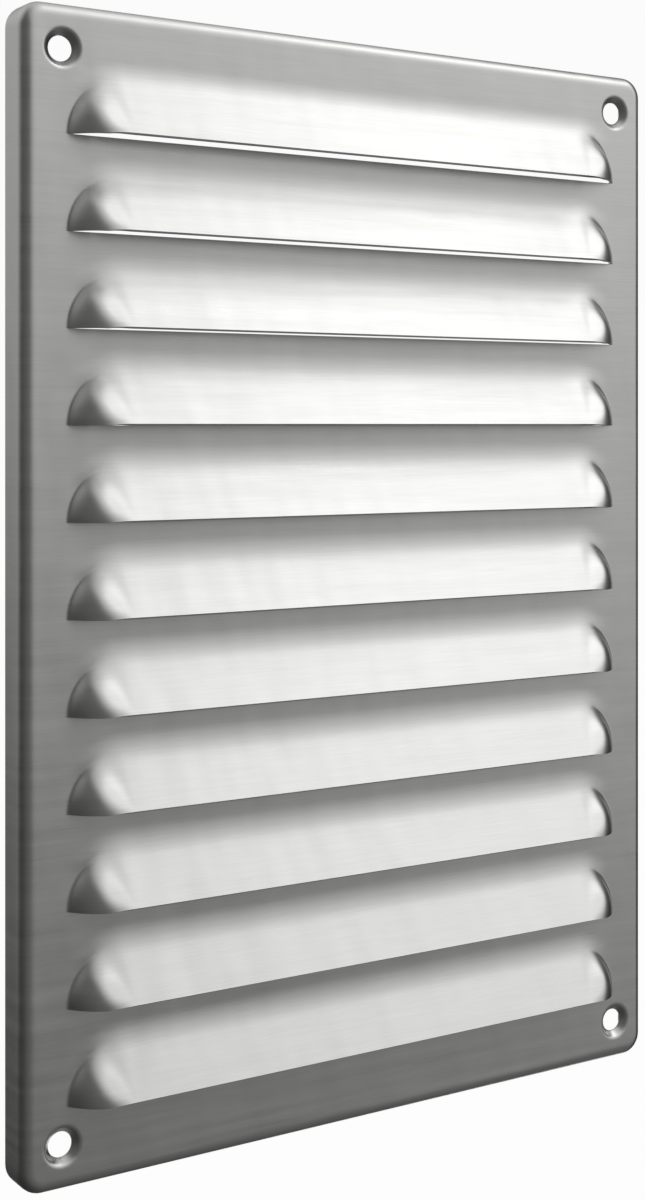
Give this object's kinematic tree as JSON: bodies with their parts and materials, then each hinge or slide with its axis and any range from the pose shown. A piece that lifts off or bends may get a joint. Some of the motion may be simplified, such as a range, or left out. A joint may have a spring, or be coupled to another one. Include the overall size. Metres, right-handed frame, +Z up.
{
  "type": "louvred vent panel",
  "caption": "Rectangular sheet metal vent panel with folded rim, horizontal pressed louvres that open downwards, and countersunk screw holes in its corners.",
  "frame": {"origin": "centre of the rear rim plane, which lies on the wall", "axes": "+Z up along the long sides, -Y out of the front face, +X to the right seen from the front"},
  "size_m": [0.165, 0.0144, 0.24],
  "materials": {
    "stainless_sheet": "fine horizontal brushing"
  },
  "bodies": {
    "root": {"louvred_panel": "stainless_sheet"}
  },
  "joints": []
}
